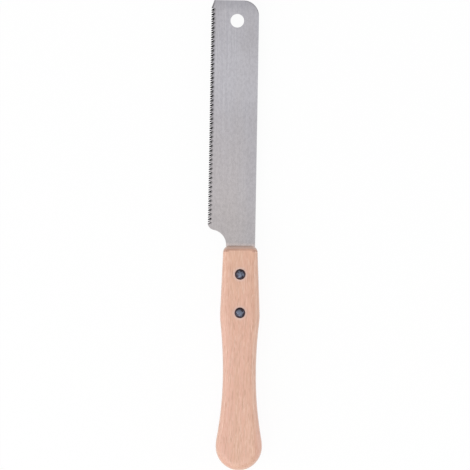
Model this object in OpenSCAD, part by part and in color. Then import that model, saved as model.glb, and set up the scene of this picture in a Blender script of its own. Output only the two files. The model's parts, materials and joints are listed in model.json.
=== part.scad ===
// Flush cut saw: a thin toothed steel blade riveted into the saw kerf of a one-piece beech handle.
// Millimetres, +Z up. The saw lies on the flat back of its handle, blade towards +Y, teeth towards -X.
// The origin is on the back face, on the handle's centre line, midway between the two rivets.

/* [Handle] */
// length from the front end, where the blade comes out, to the rounded rear end
handle_l = 138.2; // [120:0.1:170]
// thickness from the back face to the front face
handle_t = 18; // [14:0.5:24]
// width across the front end
front_w = 21; // [19.6:0.1:23.6]
// width across the swell over the rear rivet
swell_w = 24.4; // [23.9:0.1:28]
// distance of the swell behind the front end
swell_at = 42.5; // [36:0.1:50]
// radius of the swell's crest
swell_r = 48; // [20:1:70]
// width across the waist
waist_w = 20.4; // [17:0.1:22]
// distance of the waist behind the front end
waist_at = 78.7; // [68:0.1:90]
// width across the bulb near the rear end
bulb_w = 28.5; // [25:0.1:34]
// distance of the bulb's widest place from the rear end
bulb_from_end = 14.7; // [12:0.1:18]
// radius of the bulb's shoulder
bulb_r = 25; // [14:1:26]
// radius rounded over all long edges
edge_round = 5; // [3:0.25:6]
// radius rounded over the edges of the front end
front_round = 3.2; // [1:0.1:3.3]
// radius of the two front corners in plan
front_corner_r = 4.2; // [3.4:0.1:5]
// length over which the front rounding grows into the long edges' rounding
round_blend = 12; // [6:1:20]

/* [Blade] */
// length of the blade in front of the handle
blade_l = 151.3; // [110:0.1:200]
// width over the tooth tips
blade_w = 29.5; // [26:0.1:40]
// thickness of the blade
blade_t = 0.6; // [0.4:0.05:0.9]
// distance of the blade's back edge from the handle's centre line
back_offset = 8.8; // [7:0.1:9.2]
// angle by which the toe leans towards the blade's back
blade_lean = 0.5; // [0:0.1:1]
// radius of the toe's corner on the back edge
toe_r = 9.5; // [3:0.5:12]
// width of the straight clip on the toe's toothed corner
toe_clip_w = 1.9; // [1:0.1:4]
// length of the straight clip along the toothed edge, to the middle of the first gullet
toe_clip_l = 5.6; // [3:0.1:9]
// diameter of the hanging hole
hang_d = 8.4; // [5:0.1:10]
// distance of the hanging hole's centre from the toe
hang_from_toe = 12.6; // [10:0.1:20]
// distance of the hanging hole's centre from the back edge
hang_from_back = 13.3; // [10:0.1:15]

/* [Heel and tang] */
// width of the tang between the two cheeks of the kerf
tang_w = 17.9; // [14:0.1:18.4]
// length of the tang behind the rear rivet
tang_tail = 8; // [6:0.5:12]
// corner cut off the tang's rear end
tang_clip = 2; // [0.5:0.25:4]
// radius of the heel's outer corner
heel_r = 4.5; // [1.5:0.1:6]
// radius of the hollow between the heel and the tang
relief_r = 9.5; // [6:0.5:14]
// straight stretch of the tang left in front of the handle
neck_l = 0.1; // [0.1:0.1:4]

/* [Teeth] */
// distance from one tooth tip to the next
tooth_pitch = 1.404; // [1.2:0.002:2]
// depth of the gullets
tooth_depth = 2.9; // [2:0.1:3.4]
// angle by which the gullets are filed across the blade, to one side and the other in turn
fleam = 52; // [30:1:60]
// angle by which the teeth lean towards the handle
tooth_lean = 11; // [0:0.5:14]
// width of the top bevel that ends each tooth
top_w = 0.6; // [0.1:0.05:0.7]
// slant of the top bevels, which rise to the cutting points on the handle's side
top_slant = 26; // [10:1:35]

/* [Rivets] */
// distance of the front rivet behind the handle's front end
rivet_from_front = 17.6; // [12:0.1:20]
// distance between the two rivets
rivet_spacing = 23.6; // [20:0.1:28]
// diameter of the shanks
shank_d = 3.5; // [2.5:0.1:4]
// diameter of the domed heads
head_d = 6.5; // [5.5:0.1:8]
// height of the domed heads
head_h = 1.9; // [1.2:0.1:2.5]
// height of the straight rim under the dome
head_rim = 0.3; // [0.1:0.05:0.6]
// diameter of the closed tails
tail_d = 5; // [4.6:0.1:5.6]
// height of the closed tails
tail_h = 0.8; // [0.6:0.1:1.2]
// height of the straight rim of a tail
tail_rim = 0.2; // [0.1:0.05:0.3]

/* [Washers] */
// outer diameter of the washers under the tails
washer_d = 8; // [7:0.1:9]
// thickness of the washers
washer_t = 0.8; // [0.5:0.1:1.2]
// depth of the closed tails below the back face
tail_sink = 0.2; // [0.1:0.1:0.6]

/* [Clearances] */
// gap between the blade and each cheek of the kerf
kerf_gap = 0.05; // [0.02:0.01:0.15]
// gap behind the tang's end at the bottom of the kerf
kerf_end_gap = 2; // [2:0.5:6]
// radius of the cutter that leaves the round bottom of the kerf
kerf_cutter_r = 60; // [55:1:100]
// gap around the rivets' shanks
shank_gap = 0.05; // [0.02:0.01:0.15]
// gap around the washers in their counterbores
washer_gap = 0.15; // [0.05:0.05:0.4]

/* [Hidden] */

// facets of round parts, and of the large discs
$fn = 72;
disc_facets = 180;
// extra length by which cutting shapes pass the surface they cut
over = 1;

// places along the saw
front_y = rivet_from_front + rivet_spacing / 2;
toe_y = front_y + blade_l;
tang_y = -rivet_spacing / 2 - tang_tail;
kerf_y = tang_y - kerf_end_gap;
rivet_ys = [rivet_spacing / 2, -rivet_spacing / 2];

// heights: the blade lies at half the handle's thickness, the washers in counterbores in the back
blade_z = handle_t / 2;
kerf_t = blade_t + 2 * kerf_gap;
hole_d = shank_d + 2 * shank_gap;
washer_z = tail_sink + tail_h;
counterbore_h = washer_z + washer_t;

// edges of the blade
back_x = back_offset;
tips_x = back_x - blade_w;
tang_x = back_x - tang_w;
neck_y = front_y + neck_l;
heel_step = blade_w - tang_w;
heel_sum = heel_r + relief_r;
heel_turn = heel_step < heel_sum ? acos(1 - heel_step / heel_sum) : 90;
heel_y = neck_y + heel_sum * sin(heel_turn);

// gullets: each one is a vee that shifts along the edge as it crosses the blade
first_gullet_y = toe_y - toe_clip_l;
gullet_count = ceil((first_gullet_y - heel_y) / tooth_pitch) + 1;
gullet_shift = blade_t * tan(fleam);
gullet_slope = (tooth_pitch + gullet_shift - top_w) / 2 / tooth_depth;
gullet_over = 0.2;
gullet_half = gullet_slope * (tooth_depth + gullet_over) * cos(fleam);
gullet_lean = tan(tooth_lean) * cos(fleam);
gullet_l = 2 * (blade_t / 2 + gullet_half * sin(fleam)) / cos(fleam) + over;

// tooth tops: each one falls from its point to the middle of the gullet on the toe's side
point_from_gullet = (tooth_pitch + top_w) / 2;
top_drop = point_from_gullet * tan(top_slant);

// handle outline: distances run from the front end backwards, arcs meet tangent to each other
bulb_at = handle_l - bulb_from_end;
swell_c = [swell_w / 2 - swell_r, swell_at];
bulb_c = [bulb_w / 2 - bulb_r, bulb_at];
waist_front_r = tangent_sum((swell_w - waist_w) / 2, waist_at - swell_at) - swell_r;
waist_rear_r = tangent_sum((bulb_w - waist_w) / 2, bulb_at - waist_at) - bulb_r;
waist_front_c = [waist_w / 2 + waist_front_r, waist_at];
waist_rear_c = [waist_w / 2 + waist_rear_r, waist_at];
front_dx = front_w / 2 - swell_c[0];
front_turn = atan2(swell_at, front_dx) - acos(swell_r / norm([front_dx, swell_at]));
swell_turn = -atan2(waist_at - swell_at, waist_front_c[0] - swell_c[0]);
bulb_turn = atan2(bulb_at - waist_at, waist_rear_c[0] - bulb_c[0]);
corner_x = front_w / 2 + front_corner_r * (tan(front_turn) - 1 / cos(front_turn));

// steps along the outlines and around the rounded edges
toe_steps = 18;
heel_steps = 12;
relief_steps = 18;
corner_steps = 7;
taper_steps = 6;
arc_steps = 9;
end_steps = 18;
round_steps = 8;

// sum of the radii of two arcs that bend opposite ways and meet tangent, dx apart in width and dy in length
function tangent_sum(dx, dy) = (dx * dx + dy * dy) / (2 * dx);

// arc of the outline as [x, distance, normal x, normal distance]; side is 1 bulging out, -1 hollow
function outline_arc(c, r, side, a0, a1, steps) = [
    for (i = [0 : steps])
        let (a = a0 + (a1 - a0) * i / steps)
            [c[0] + side * r * cos(a), c[1] - side * r * sin(a), cos(a), -sin(a)]
];

// straight stretch between two outline points, without its ends
function outline_line(p, q, steps) = [
    for (i = [1 : steps - 1])
        p + (q - p) * i / steps
];

// quarter ellipse from the bulb's widest place to the middle of the rear end
function outline_end(a, b, d0, steps) = [
    for (i = [1 : steps])
        let (t = 90 * i / steps, n = [cos(t) / a, sin(t) / b])
            [a * cos(t), d0 + b * sin(t), n[0] / norm(n), n[1] / norm(n)]
];

function without_first(list) = [for (i = [1 : len(list) - 1]) list[i]];

corner = outline_arc([corner_x, front_corner_r], front_corner_r, 1, 90, front_turn, corner_steps);
swell = outline_arc(swell_c, swell_r, 1, front_turn, swell_turn, arc_steps);
waist_front = outline_arc(waist_front_c, waist_front_r, -1, swell_turn, 0, arc_steps);
waist_rear = outline_arc(waist_rear_c, waist_rear_r, -1, 0, bulb_turn, arc_steps);
bulb = outline_arc(bulb_c, bulb_r, 1, bulb_turn, 0, arc_steps);
side = concat(
    corner,
    outline_line(corner[corner_steps], swell[0], taper_steps),
    swell,
    without_first(waist_front),
    without_first(waist_rear),
    without_first(bulb),
    outline_end(bulb_w / 2, bulb_from_end, bulb_at, end_steps)
);
side_n = len(side);
loop_n = 2 * side_n - 1;

// radius rounded over the edge at a distance behind the front end
function ramp(t) = t < 0 ? 0 : t > 1 ? 1 : t * t * (3 - 2 * t);
function round_at(d) = front_round + (edge_round - front_round) * ramp((d - front_corner_r) / round_blend);

// point i of the right half of the outline drawn in by the rounding at angle a, 90 on the flat face
function inset_point(i, a, mirror_x) =
    let (s = side[i], r = round_at(s[1]), d = r * (1 - cos(a)))
        [mirror_x * (s[0] - s[2] * d), front_y - s[1] + s[3] * d, r * (1 - sin(a))];

// closed ring of the outline, down the right side and back up the left one
function ring(a) = concat(
    [for (i = [0 : side_n - 1]) inset_point(i, a, 1)],
    [for (i = [side_n - 2 : -1 : 0]) inset_point(i, a, -1)]
);

function raised(points) = [for (p = points) [p[0], p[1], handle_t - p[2]]];

// handle blank: rings of the outline stacked from the back face to the front face
module handle_blank() {
    angles = [for (i = [0 : round_steps]) 90 - 90 * i / round_steps];
    lower = [for (a = angles) ring(a)];
    upper = [for (i = [round_steps : -1 : 0]) raised(ring(angles[i]))];
    rings = concat(lower, upper);
    top = (len(rings) - 1) * loop_n;
    last = 2 * side_n - 2;
    walls = [
        for (k = [0 : len(rings) - 2], j = [0 : loop_n - 1])
            let (a = k * loop_n + j, b = k * loop_n + (j + 1) % loop_n)
                each [[a, b, b + loop_n], [a, b + loop_n, a + loop_n]]
    ];
    caps = [
        for (i = [0 : side_n - 2])
            let (l = last - i, m = last - i - 1)
                each i < side_n - 2
                    ? [[top + i, top + i + 1, top + m], [top + i, top + m, top + l], [l, m, i + 1], [l, i + 1, i]]
                    : [[top + i, top + i + 1, top + l], [l, i + 1, i]]
    ];
    polyhedron(points = [for (r = rings) each r], faces = concat(walls, caps), convexity = 6);
}

// one-piece handle with the kerf for the blade, the rivet holes and the counterbores for the washers
module handle() {
    color("burlywood")
        difference() {
            handle_blank();
            translate([0, kerf_y + kerf_cutter_r, blade_z - kerf_t / 2])
                cylinder(r = kerf_cutter_r, h = kerf_t, $fn = disc_facets);
            for (y = rivet_ys) {
                translate([0, y, -over])
                    cylinder(d = hole_d, h = handle_t + 2 * over);
                translate([0, y, -over])
                    cylinder(d = washer_d + 2 * washer_gap, h = counterbore_h + over);
            }
        }
}

// points of an arc in plan
function plan_arc(c, r, a0, a1, steps) = [
    for (i = [0 : steps])
        let (a = a0 + (a1 - a0) * i / steps)
            [c[0] + r * cos(a), c[1] + r * sin(a)]
];

// slanted tops of the teeth from the toe to the heel, with steps that fall into the gullets
function tooth_tops() = [
    for (i = [0 : gullet_count - 2])
        let (y = first_gullet_y - i * tooth_pitch, point_y = y - point_from_gullet)
            if (point_y > heel_y)
                each y - tooth_pitch > heel_y
                    ? [[tips_x + top_drop, y], [tips_x, point_y], [tips_x, y - tooth_pitch]]
                    : [[tips_x + top_drop, y], [tips_x, point_y]]
];

// plain blade with its tang, before the gullets and the holes
module blade_outline() {
    polygon(concat(
        [[back_x - tang_clip, tang_y], [back_x, tang_y + tang_clip]],
        plan_arc([back_x - toe_r, toe_y - toe_r], toe_r, 0, 90, toe_steps),
        [[tips_x + toe_clip_w, toe_y], [tips_x, first_gullet_y]],
        tooth_tops(),
        plan_arc([tips_x + heel_r, heel_y], heel_r, 180, 180 + heel_turn, heel_steps),
        plan_arc([tang_x - relief_r, neck_y], relief_r, heel_turn, 0, relief_steps),
        [[tang_x, tang_y + tang_clip], [tang_x + tang_clip, tang_y]]
    ));
}

// every second gullet, filed across the blade at the given angle
module gullets(first, angle) {
    root = [tooth_depth, tooth_depth * gullet_lean];
    mouth_y = -gullet_over * gullet_lean;
    for (i = [first : 2 : gullet_count - 1])
        translate([tips_x, first_gullet_y - i * tooth_pitch, 0])
            rotate([angle, 0, 0])
                linear_extrude(height = gullet_l, center = true)
                    polygon([root, [-gullet_over, mouth_y + gullet_half], [-gullet_over, mouth_y - gullet_half]]);
}

// blade with filed teeth, hanging hole and rivet holes in the tang
module blade() {
    color("silver")
        translate([0, 0, blade_z])
            difference() {
                rotate([0, 0, -blade_lean])
                    difference() {
                        linear_extrude(height = blade_t, center = true)
                            blade_outline();
                        translate([back_x - hang_from_back, toe_y - hang_from_toe, 0])
                            cylinder(d = hang_d, h = blade_t + 2 * over, center = true);
                        gullets(0, fleam);
                        gullets(1, -fleam);
                    }
                for (y = rivet_ys)
                    translate([0, y, 0])
                        cylinder(d = hole_d, h = blade_t + 2 * over, center = true);
            }
}

// half section of a domed head standing on the axis: straight rim with a round cap
module dome_section(d, h, rim) {
    cap = h - rim;
    cap_r = (d * d / 4 + cap * cap) / (2 * cap);
    intersection() {
        translate([0, h - cap_r])
            circle(r = cap_r, $fn = disc_facets);
        square([d / 2, h]);
    }
}

// rivet with a domed head on the front face and a low closed tail on its washer
module rivet() {
    color("dimgray")
        rotate_extrude()
            union() {
                translate([0, handle_t])
                    dome_section(head_d, head_h, head_rim);
                translate([0, washer_z - tail_rim / 2])
                    square([shank_d / 2, handle_t - washer_z + tail_rim]);
                translate([0, washer_z])
                    mirror([0, 1])
                        dome_section(tail_d, tail_h, tail_rim);
            }
}

// flat washer at the bottom of its counterbore
module washer() {
    color("gray")
        translate([0, 0, washer_z])
            difference() {
                cylinder(d = washer_d, h = washer_t);
                translate([0, 0, -over])
                    cylinder(d = hole_d, h = washer_t + 2 * over);
            }
}

module front_rivet() {
    translate([0, rivet_ys[0], 0])
        rivet();
}

module rear_rivet() {
    translate([0, rivet_ys[1], 0])
        rivet();
}

module front_washer() {
    translate([0, rivet_ys[0], 0])
        washer();
}

module rear_washer() {
    translate([0, rivet_ys[1], 0])
        washer();
}

blade();
handle();
front_rivet();
rear_rivet();
front_washer();
rear_washer();
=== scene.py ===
import json
import math

import bpy
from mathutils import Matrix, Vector

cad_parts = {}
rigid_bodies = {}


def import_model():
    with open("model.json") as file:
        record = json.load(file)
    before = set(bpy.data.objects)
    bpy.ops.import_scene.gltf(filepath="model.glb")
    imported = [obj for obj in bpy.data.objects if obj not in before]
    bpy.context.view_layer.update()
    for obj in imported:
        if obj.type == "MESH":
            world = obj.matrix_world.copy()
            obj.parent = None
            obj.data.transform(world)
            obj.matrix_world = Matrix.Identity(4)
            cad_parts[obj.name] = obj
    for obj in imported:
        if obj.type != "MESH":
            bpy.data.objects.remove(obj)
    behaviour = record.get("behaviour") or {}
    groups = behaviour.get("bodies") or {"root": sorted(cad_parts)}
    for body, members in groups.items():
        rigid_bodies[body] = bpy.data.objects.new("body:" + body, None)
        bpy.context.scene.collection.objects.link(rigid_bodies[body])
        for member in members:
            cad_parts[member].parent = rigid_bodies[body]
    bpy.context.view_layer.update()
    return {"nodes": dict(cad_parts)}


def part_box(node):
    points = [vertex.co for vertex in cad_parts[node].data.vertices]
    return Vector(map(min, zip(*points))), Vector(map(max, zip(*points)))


for leftover in list(bpy.data.objects):
    bpy.data.objects.remove(leftover)

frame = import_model()
nodes = frame["nodes"]

# Sizes of the saw, in millimetres
M_TO_MM = 1000.0
BLADE_LEAN = math.radians(0.5)     # turn of the blade's axes from the handle's
HEEL_Y = 43.3                      # rear end of the toothed edge, in the blade's axes
FIRST_GULLET_Y = 175.1             # front end of the toothed edge, in the blade's axes
CLIP_SLOPE = 0.34                  # sideways step of the toe's clip per millimetre forward
TOE_CORNER = (-0.7, 171.2)         # middle of the toe's round corner, in the blade's axes
TOE_RADIUS = 9.5

# Which part of the noise lies on the blade and on the rivet heads
CLOUD_SHIFT = (2.96, 4.88, 0.0)
MARK_SHIFT = (6.97, 3.89, 0.0)

# Shading of the handle's mesh
SMOOTH_ANGLE = math.radians(28)    # edges sharper than this stay sharp
JOIN_DISTANCE = 0.001              # corners closer than this, in millimetres, are joined

# Camera: straight down, a long lens, framed as in the photograph
IMAGE_PX = 470
MM_PER_PX = 0.617
ROLL = math.radians(0.474)         # the handle's axis leans to the right in the image
ORIGIN_PX = (240.0, 293.3)         # where the row frame's origin lies in the image
LENS = 200.0
SENSOR = 36.0
MID_PLANE = 9.0                    # height of the blade's plane above the floor
CLIP_END_M = 20.0

# Studio
FLOOR_SIDE_M = 6.0
FLOOR_DROP = 0.3                   # gap under the saw, so that no two faces coincide
FLOOR_PAINT = 0.96
FLOOR_GLOW = 0.93                  # share of plain white in the floor where it is seen directly
SKY_STRENGTH = 0.52


def rgb(red, green, blue):
    return (red, green, blue, 1.0)


def middle_mm(node):
    """Middle of a CAD node in plan."""
    low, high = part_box(node)
    return tuple((low[i] + high[i]) / 2 * M_TO_MM for i in (0, 1))


def across_blade_mm(point):
    """Where a row-frame point lies along the X axis of the leaning blade."""
    return (point.x * math.cos(BLADE_LEAN) - point.y * math.sin(BLADE_LEAN)) * M_TO_MM


RIVET_CENTRES = [middle_mm("front_rivet"), middle_mm("rear_rivet")]
FRONT_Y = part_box("handle")[1][1] * M_TO_MM
TOOTH_TIPS_X = min(across_blade_mm(v.co) for v in nodes["blade"].data.vertices)

WOOD = {
    "pale": rgb(0.742, 0.441, 0.314),
    "pink": rgb(0.755, 0.42, 0.317),
    "front": rgb(0.71, 0.405, 0.27),
    "warm": rgb(0.735, 0.4, 0.27),
    "ring": rgb(0.6, 0.335, 0.235),
    "streak": rgb(0.6, 0.325, 0.225),
    "line": rgb(0.59, 0.315, 0.215),
    "fibre": rgb(0.83, 0.575, 0.445),
    "fleck": rgb(0.52, 0.275, 0.18),
    # front edge: darker end grain with painted shade
    "arris_grain_and_shade": rgb(0.52, 0.285, 0.205),
    "end grain": rgb(0.6, 0.42, 0.35),
    "crushed": rgb(0.74, 0.55, 0.5),
}
STEEL = {
    "dark": rgb(0.482, 0.472, 0.502),
    "light": rgb(0.584, 0.573, 0.611),
    "band": rgb(0.461, 0.45, 0.491),
    "cloud": rgb(0.493, 0.466, 0.482),
    "back": rgb(0.45, 0.442, 0.47),
    # painted highlight
    "painted_highlight": rgb(0.583, 0.572, 0.61),
    "warm": rgb(0.535, 0.49, 0.483),
    # painted shade towards the handle
    "rear": rgb(0.42, 0.393, 0.388),
    # painted reflection of the wood
    "painted wood reflection": rgb(0.68, 0.595, 0.573),
    # painted shade at the toe
    "toe": rgb(0.36, 0.355, 0.387),
    "speckle": rgb(0.89, 0.89, 0.89),
    "rim": rgb(0.15, 0.14, 0.145),
    "tempered": rgb(0.05, 0.042, 0.05),
    "hardened": rgb(0.065, 0.055, 0.065),
    # painted shade on the flanks that face the toe
    "painted flank shade": rgb(0.004, 0.0036, 0.004),
    "leading point": rgb(0.02, 0.018, 0.02),
    "leading root": rgb(0.5, 0.485, 0.5),
}
BLUED = {
    "dark": rgb(0.155, 0.175, 0.23),
    "light": rgb(0.21, 0.24, 0.315),
    "mark": rgb(0.05, 0.06, 0.09),
    # painted reflection of the wood at the rim
    "rim": rgb(0.06, 0.045, 0.055),
}


class Shader:
    """A material's node tree, with short calls that add and link its nodes."""

    def __init__(self, name):
        self.material = bpy.data.materials.new(name)
        self.material.use_nodes = True
        self.tree = self.material.node_tree
        self.tree.nodes.clear()

    def node(self, kind, inputs=None, **props):
        made = self.tree.nodes.new(kind)
        for key, value in props.items():
            setattr(made, key, value)
        for key, value in (inputs or {}).items():
            if isinstance(value, bpy.types.NodeSocket):
                self.tree.links.new(value, made.inputs[key])
            else:
                made.inputs[key].default_value = value
        return made

    def math(self, operation, a, b=0.0):
        return self.node("ShaderNodeMath", {0: a, 1: b}, operation=operation).outputs[0]

    def product(self, first, *others):
        """All the given values multiplied together."""
        for other in others:
            first = self.math("MULTIPLY", first, other)
        return first

    def axes(self, vector):
        return self.node("ShaderNodeSeparateXYZ", {"Vector": vector}).outputs

    def position(self, turn=0.0):
        """Row-frame position in millimetres, turned about Z."""
        coord = self.node("ShaderNodeTexCoord")
        return self.node("ShaderNodeMapping", {
            "Vector": coord.outputs["Object"],
            "Rotation": (0, 0, turn),
            "Scale": (M_TO_MM, M_TO_MM, M_TO_MM),
        }).outputs["Vector"]

    def facing(self):
        """Axes of the surface's normal."""
        return self.axes(self.node("ShaderNodeNewGeometry").outputs["Normal"])

    def distance_in_plan(self, position, centre):
        flat = self.node("ShaderNodeVectorMath", {0: position, 1: (1, 1, 0)}, operation="MULTIPLY")
        return self.node("ShaderNodeVectorMath", {
            0: flat.outputs["Vector"],
            1: (*centre, 0),
        }, operation="DISTANCE").outputs["Value"]

    def distance_to_rivet(self, position):
        """Distance in plan to the middle of the nearer rivet."""
        return self.math("MINIMUM", *[self.distance_in_plan(position, c) for c in RIVET_CENTRES])

    def stretched(self, position, across, along, shift=(0, 0, 0)):
        """A position counted in features of a given width across and length along the saw."""
        return self.node("ShaderNodeMapping", {
            "Vector": position,
            "Location": shift,
            "Scale": (1 / across, 1 / along, 1 / across),
        }).outputs["Vector"]

    def noise(self, vector, detail, roughness=0.5, distortion=0.0):
        return self.node("ShaderNodeTexNoise", {
            "Vector": vector,
            "Scale": 1.0,
            "Detail": detail,
            "Roughness": roughness,
            "Distortion": distortion,
        }).outputs["Fac"]

    def cells(self, vector):
        """Distance to the nearest cell's middle, and a random value for each cell."""
        made = self.node("ShaderNodeTexVoronoi", {"Vector": vector, "Scale": 1.0})
        spread = self.node("ShaderNodeSeparateColor", {"Color": made.outputs["Color"]})
        return made.outputs["Distance"], spread.outputs["Red"]

    def ramp(self, value, low, high, start=0.0, end=1.0):
        """Smooth step from start to end as the value goes from low to high."""
        return self.node("ShaderNodeMapRange", {
            "Value": value,
            "From Min": low,
            "From Max": high,
            "To Min": start,
            "To Max": end,
        }, interpolation_type="SMOOTHSTEP").outputs["Result"]

    def mix(self, factor, a, b, blend="MIX"):
        """Colour a with b over it by the factor. The node has its colours at inputs 6 and 7 and output 2."""
        inputs = {0: factor, 6: a, 7: b}
        return self.node("ShaderNodeMix", inputs, data_type="RGBA", blend_type=blend).outputs[2]

    def layer(self, colour, over, value, low, high, share=1.0):
        """Lays a colour over another: none of it where the value is low, its share where it is high."""
        return self.mix(self.ramp(value, low, high, 0.0, share), colour, over)

    def bump(self, height, strength, distance_mm, under=None):
        inputs = {"Height": height, "Strength": strength, "Distance": distance_mm / M_TO_MM}
        if under is not None:
            inputs["Normal"] = under
        return self.node("ShaderNodeBump", inputs).outputs["Normal"]

    def finish(self, **inputs):
        named = {key.replace("_", " "): value for key, value in inputs.items()}
        surface = self.node("ShaderNodeBsdfPrincipled", named)
        self.node("ShaderNodeOutputMaterial", {"Surface": surface.outputs["BSDF"]})
        return self.material


def beech():
    """Lacquered pinkish beech: soft zones, rings, streaks, fine lines, fibres and short dark flecks."""
    s = Shader("beech")
    p = s.position()
    place = s.axes(p)
    zones = s.noise(s.stretched(p, across=9, along=120, shift=(0.3, 0, 0)), detail=1)
    warmth = s.noise(s.stretched(p, across=3, along=26, shift=(0.1, 0.4, 0)), detail=2)
    rings = s.noise(s.stretched(p, across=4.5, along=85), detail=2, distortion=0.6)
    from_ring = s.math("ABSOLUTE", s.math("SUBTRACT", rings, 0.5))
    streaks = s.noise(s.stretched(p, across=0.75, along=12), detail=3, roughness=0.65, distortion=0.5)
    lines = s.noise(s.stretched(p, across=0.42, along=7, shift=(0.2, 0.3, 0)), detail=2, roughness=0.55)
    fibres = s.noise(s.stretched(p, across=0.35, along=5), detail=2, roughness=0.6, distortion=0.3)
    fleck_near, fleck_pick = s.cells(s.stretched(p, across=0.9, along=6))
    flecks = s.product(s.ramp(fleck_near, 0.36, 0.16), s.ramp(fleck_pick, 0.55, 0.7))

    colour = s.mix(s.ramp(zones, 0.38, 0.62), WOOD["pale"], WOOD["pink"])
    colour = s.layer(colour, WOOD["front"], place["Y"], low=-40, high=25, share=0.45)
    colour = s.layer(colour, WOOD["warm"], warmth, low=0.5, high=0.7, share=0.35)
    colour = s.layer(colour, WOOD["ring"], from_ring, low=0.035, high=0.0, share=0.22)
    colour = s.layer(colour, WOOD["streak"], streaks, low=0.6, high=0.3, share=0.4)
    colour = s.layer(colour, WOOD["line"], lines, low=0.48, high=0.3, share=0.95)
    colour = s.layer(colour, WOOD["fibre"], fibres, low=0.5, high=0.7, share=0.7)
    colour = s.mix(s.product(flecks, 0.5), colour, WOOD["fleck"])

    # Darker rounded edge at the front, partly end grain and partly painted shade, patchy and stronger on the
    # left, and the end grain below it
    facing = s.facing()
    near_front = s.ramp(place["Y"], FRONT_Y - 6, FRONT_Y - 4)
    patches = s.noise(s.stretched(p, across=4, along=4, shift=(0.7, 0, 0)), detail=1)
    arris_grain_and_shade = s.product(
        s.ramp(facing["Y"], 0.005, 0.09),
        near_front,
        s.ramp(patches, 0.3, 0.65, start=0.65),
        s.ramp(place["X"], 6, -6, start=0.75),
    )
    colour = s.mix(arris_grain_and_shade, colour, WOOD["arris_grain_and_shade"])
    end_grain = s.product(s.ramp(facing["Y"], 0.25, 0.6), near_front, 0.9)
    colour = s.mix(end_grain, colour, WOOD["end grain"])

    # Pale ring of crushed wood around each rivet head
    near = s.distance_to_rivet(p)
    crushed = s.product(s.ramp(near, 3.1, 3.4), s.ramp(near, 5.0, 3.6), 0.5)
    colour = s.mix(crushed, colour, WOOD["crushed"])

    relief = s.math("SUBTRACT", fibres, s.product(flecks, 0.6))
    return s.finish(
        Base_Color=colour,
        Roughness=s.ramp(s.math("ADD", fibres, flecks), 0.2, 1.4, start=0.46, end=0.62),
        Coat_Weight=1.0,
        Coat_Roughness=0.25,
        Normal=s.bump(relief, strength=0.25, distance_mm=0.06),
    )


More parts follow.
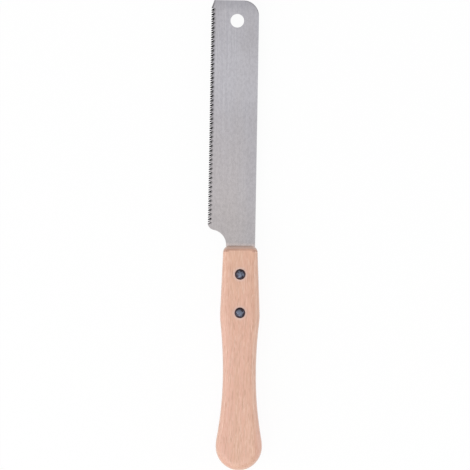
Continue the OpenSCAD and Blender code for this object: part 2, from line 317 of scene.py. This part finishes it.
def blade_steel():
    """Satin steel ground lengthwise, with a fine speckle, teeth that are dark from hardening and from
    painted shade on their toe-facing flanks, and painted light and shade along the blade.
    """
    s = Shader("blade steel")
    p = s.position(BLADE_LEAN)
    place = s.axes(p)
    scratches = s.noise(s.stretched(p, across=0.3, along=45), detail=3, roughness=0.65)
    bands = s.noise(s.stretched(p, across=1.8, along=150, shift=(0.2, 0, 0)), detail=2, roughness=0.6)
    clouds = s.noise(s.stretched(p, across=14, along=48, shift=CLOUD_SHIFT), detail=3)
    speckle = s.noise(s.stretched(p, across=1.2, along=2.2, shift=(0.6, 0.1, 0)), detail=3, roughness=0.7)
    grit = s.noise(s.stretched(p, across=0.7, along=1.6), detail=2)

    # Flat faces: ground texture, then slow changes of tone along and across the blade; along it the tone
    # carries painted highlight and painted shade in place of the lamps' reflection
    colour = s.mix(s.ramp(scratches, 0.25, 0.75), STEEL["dark"], STEEL["light"])
    colour = s.layer(colour, STEEL["band"], bands, low=0.4, high=0.65, share=0.65)
    colour = s.layer(colour, STEEL["cloud"], clouds, low=0.35, high=0.65, share=0.5)
    colour = s.layer(colour, STEEL["back"], place["X"], low=-16, high=8, share=0.42)
    # Painted highlight: the front half of the blade paler, where it mirrors the overhead lamp
    painted_highlight = s.product(s.ramp(place["Y"], 105, 125), s.ramp(place["Y"], 158, 140), 0.4)
    colour = s.mix(painted_highlight, colour, STEEL["painted_highlight"])
    warm = s.product(s.ramp(place["Y"], 135, 40, end=0.65), s.ramp(place["X"], 8, -4, start=0.35))
    colour = s.mix(warm, colour, STEEL["warm"])
    # Painted shade: the blade darker towards the handle
    colour = s.layer(colour, STEEL["rear"], place["Y"], low=66, high=36, share=0.32)
    # Painted reflection of the handle's wood on the blade right next to it
    colour = s.layer(colour, STEEL["painted wood reflection"], place["Y"], low=FRONT_Y + 2.2, high=FRONT_Y, share=0.8)
    # Painted shade: the blade darker at the toe
    colour = s.layer(colour, STEEL["toe"], place["Y"], low=172, high=180, share=0.5)
    colour = s.mix(s.ramp(speckle, 0.38, 0.66), colour, STEEL["speckle"], blend="MULTIPLY")

    # Dark rim along the toe's clip and around its corner
    depth = s.math("SUBTRACT", place["X"], TOOTH_TIPS_X)
    ahead = s.math("SUBTRACT", place["Y"], FIRST_GULLET_Y)
    from_clip = s.math("SUBTRACT", depth, s.product(ahead, CLIP_SLOPE))
    clip_rim = s.product(
        s.ramp(from_clip, 1.3, 0.7),
        s.ramp(ahead, 0, 1),
        s.ramp(ahead, 2, 5, start=1.0, end=0.5),
    )
    corner_x, corner_y = TOE_CORNER
    corner_rim = s.product(
        s.ramp(s.distance_in_plan(p, TOE_CORNER), TOE_RADIUS - 0.8, TOE_RADIUS - 0.2, end=0.6),
        s.ramp(place["X"], corner_x, corner_x + 2),
        s.ramp(place["Y"], corner_y, corner_y + 2),
    )
    rim = s.math("MAXIMUM", clip_rim, corner_rim)
    colour = s.mix(s.product(rim, 0.75), colour, STEEL["rim"])

    # Toothed edge: a tempered border, hardened points, less of both towards the heel
    toothed = s.product(s.ramp(place["Y"], HEEL_Y - 1.5, HEEL_Y + 0.5), s.ramp(ahead, 1.5, -0.5))
    edge = s.math("ADD", depth, s.ramp(grit, 0.2, 0.8, start=-0.15, end=0.15))
    edge = s.math("ADD", edge, s.ramp(place["Y"], 130, HEEL_Y, start=-0.08, end=0.7))
    tempered = s.product(s.ramp(edge, 3.1, 1.7), toothed, 0.35)
    colour = s.mix(tempered, colour, STEEL["tempered"])
    hardened = s.product(s.ramp(edge, 1.65, 1.0), toothed, 0.95)
    colour = s.mix(hardened, colour, STEEL["hardened"])

    # Filed flanks of the teeth: those towards the toe trail and are near black, which is painted shade on
    # the side turned from the key lamp; the others are pale at the root
    facing = s.facing()
    steep = s.ramp(s.math("ABSOLUTE", facing["Z"]), 0.97, 0.88)
    flank = s.product(steep, s.ramp(depth, 3.6, 3.0), toothed)
    trailing = s.product(flank, s.ramp(facing["Y"], 0.1, 0.3))
    colour = s.mix(trailing, colour, STEEL["painted flank shade"])
    leading = s.product(flank, s.ramp(facing["Y"], -0.1, -0.3))
    filed = s.mix(s.ramp(edge, 1.2, 2.4), STEEL["leading point"], STEEL["leading root"])
    colour = s.mix(leading, colour, filed)

    return s.finish(
        Base_Color=colour,
        Metallic=1.0,
        Roughness=s.ramp(scratches, 0.2, 0.8, start=0.2, end=0.3),
        Normal=s.bump(scratches, strength=0.12, distance_mm=0.01),
    )


def blued_steel():
    """Dark blued steel with shallow hammer marks, turning brown towards the rim of a head with painted
    reflection of the wood around it.
    """
    s = Shader("blued steel")
    p = s.position()
    marks = s.noise(s.stretched(p, across=1.3, along=1.3, shift=MARK_SHIFT), detail=1, distortion=0.8)
    specks = s.noise(s.stretched(p, across=0.25, along=0.25), detail=3, roughness=0.6)
    ragged = s.math("ADD", s.distance_to_rivet(p), s.ramp(marks, 0.3, 0.7, start=-0.5, end=0.5))

    colour = s.mix(s.ramp(specks, 0.3, 0.7), BLUED["dark"], BLUED["light"])
    colour = s.layer(colour, BLUED["mark"], marks, low=0.6, high=0.72)
    # Painted reflection: brown-black towards the rim of each head, where the steep dome mirrors the wood and
    # dark surroundings
    colour = s.layer(colour, BLUED["rim"], ragged, low=1.5, high=2.4)
    hammered = s.bump(marks, strength=0.4, distance_mm=0.25)
    return s.finish(
        Base_Color=colour,
        Metallic=1.0,
        Roughness=s.ramp(specks, 0.3, 0.7, start=0.42, end=0.55),
        Normal=s.bump(specks, strength=0.15, distance_mm=0.02, under=hammered),
    )


def dress(node, material):
    data = nodes[node].data
    data.materials.clear()
    data.materials.append(material)


def smooth_shading(obj):
    """Shades the lofted surface smoothly and keeps the cut edges sharp."""
    group = bpy.data.node_groups.new("smooth by angle", "GeometryNodeTree")
    group.interface.new_socket("Geometry", in_out="INPUT", socket_type="NodeSocketGeometry")
    group.interface.new_socket("Geometry", in_out="OUTPUT", socket_type="NodeSocketGeometry")
    start = group.nodes.new("NodeGroupInput")
    plain = group.nodes.new("GeometryNodeRemoveAttribute")
    plain.inputs["Name"].default_value = "custom_normal"
    joined = group.nodes.new("GeometryNodeMergeByDistance")
    joined.inputs["Distance"].default_value = JOIN_DISTANCE / M_TO_MM
    faces = group.nodes.new("GeometryNodeSetShadeSmooth")
    faces.domain = "FACE"
    angle = group.nodes.new("GeometryNodeInputMeshEdgeAngle")
    small = group.nodes.new("FunctionNodeCompare")
    small.operation = "LESS_THAN"
    small.inputs[1].default_value = SMOOTH_ANGLE
    edges = group.nodes.new("GeometryNodeSetShadeSmooth")
    edges.domain = "EDGE"
    end = group.nodes.new("NodeGroupOutput")
    link = group.links.new
    link(start.outputs[0], plain.inputs["Geometry"])
    link(plain.outputs["Geometry"], joined.inputs["Geometry"])
    link(joined.outputs["Geometry"], faces.inputs["Geometry"])
    link(faces.outputs["Geometry"], edges.inputs["Geometry"])
    link(angle.outputs["Unsigned Angle"], small.inputs[0])
    link(small.outputs["Result"], edges.inputs["Shade Smooth"])
    link(edges.outputs["Geometry"], end.inputs[0])
    obj.modifiers.new("smooth by angle", "NODES").node_group = group
    weighted = obj.modifiers.new("flat faces stay flat", "WEIGHTED_NORMAL")
    weighted.keep_sharp = True


def add_camera():
    across = (ORIGIN_PX[0] - IMAGE_PX / 2) * MM_PER_PX
    up = (IMAGE_PX / 2 - ORIGIN_PX[1]) * MM_PER_PX
    c, s = math.cos(ROLL), math.sin(ROLL)
    height = MID_PLANE + IMAGE_PX * MM_PER_PX * LENS / SENSOR
    data = bpy.data.cameras.new("camera")
    data.lens = LENS
    data.sensor_width = SENSOR
    data.clip_end = CLIP_END_M
    camera = bpy.data.objects.new("camera", data)
    camera.location = Vector((-(across * c - up * s), -(across * s + up * c), height)) / M_TO_MM
    camera.rotation_euler = (0, 0, ROLL)
    bpy.context.scene.collection.objects.link(camera)
    bpy.context.scene.camera = camera


def add_softbox(name, place, target, side, power):
    """A square lamp that faces a target, in metres and watts."""
    data = bpy.data.lights.new(name, "AREA")
    data.shape = "SQUARE"
    data.size = side
    data.energy = power
    light = bpy.data.objects.new(name, data)
    light.location = place
    light.rotation_euler = (Vector(target) - Vector(place)).to_track_quat("-Z", "Y").to_euler()
    bpy.context.scene.collection.objects.link(light)


def seen_directly(shader):
    """1 for rays from the camera, a mirror or glass, 0 for light that falls on things."""
    rays = shader.node("ShaderNodeLightPath").outputs
    mirrored = shader.math("MAXIMUM", rays["Is Camera Ray"], rays["Is Glossy Ray"])
    return shader.math("MAXIMUM", mirrored, rays["Is Transmission Ray"])


def add_floor():
    """A white floor that shines plain white where it is seen and still takes the saw's shadow."""
    mesh = bpy.data.meshes.new("floor")
    half = FLOOR_SIDE_M / 2
    corners = [(-half, -half, 0), (half, -half, 0), (half, half, 0), (-half, half, 0)]
    mesh.from_pydata(corners, [], [(0, 1, 2, 3)])
    floor = bpy.data.objects.new("floor", mesh)
    floor.location.z = -FLOOR_DROP / M_TO_MM
    bpy.context.scene.collection.objects.link(floor)
    s = Shader("white floor")
    paint = s.node("ShaderNodeBsdfDiffuse", {"Color": rgb(FLOOR_PAINT, FLOOR_PAINT, FLOOR_PAINT)})
    white = s.node("ShaderNodeEmission", {"Color": rgb(1, 1, 1), "Strength": 1.0})
    share = s.product(seen_directly(s), FLOOR_GLOW)
    both = s.node("ShaderNodeMixShader", {0: share, 1: paint.outputs[0], 2: white.outputs[0]})
    s.node("ShaderNodeOutputMaterial", {"Surface": both.outputs[0]})
    mesh.materials.append(s.material)


def add_world():
    world = bpy.data.worlds.new("studio")
    world.use_nodes = True
    sky = world.node_tree.nodes["Background"]
    sky.inputs["Color"].default_value = rgb(1, 1, 1)
    sky.inputs["Strength"].default_value = SKY_STRENGTH
    bpy.context.scene.world = world


# Looks of the CAD nodes
dress("handle", beech())
dress("blade", blade_steel())
rivet_finish = blued_steel()
for name in ("front_rivet", "rear_rivet", "front_washer", "rear_washer"):
    dress(name, rivet_finish)
smooth_shading(nodes["handle"])

# Camera, light and floor
add_camera()
add_softbox("key", place=(-0.75, -1.2, 1.5), target=(0, 0.03, 0), side=2.4, power=22.5)
add_softbox("overhead", place=(0, 0.05, 2.4), target=(0, 0.05, 0), side=2.5, power=8.5)
add_softbox("right fill", place=(1.3, 0, 0.45), target=(0, 0, 0), side=0.7, power=2.9)
add_softbox("left fill", place=(-1.3, 0, 0.45), target=(0, 0, 0), side=0.7, power=2.9)
add_floor()
add_world()
bpy.context.scene.view_settings.view_transform = "Standard"
# The teeth are little more than two pixels apart, and a denoiser with filtered guides smooths them away
bpy.context.scene.cycles.denoising_prefilter = "NONE"
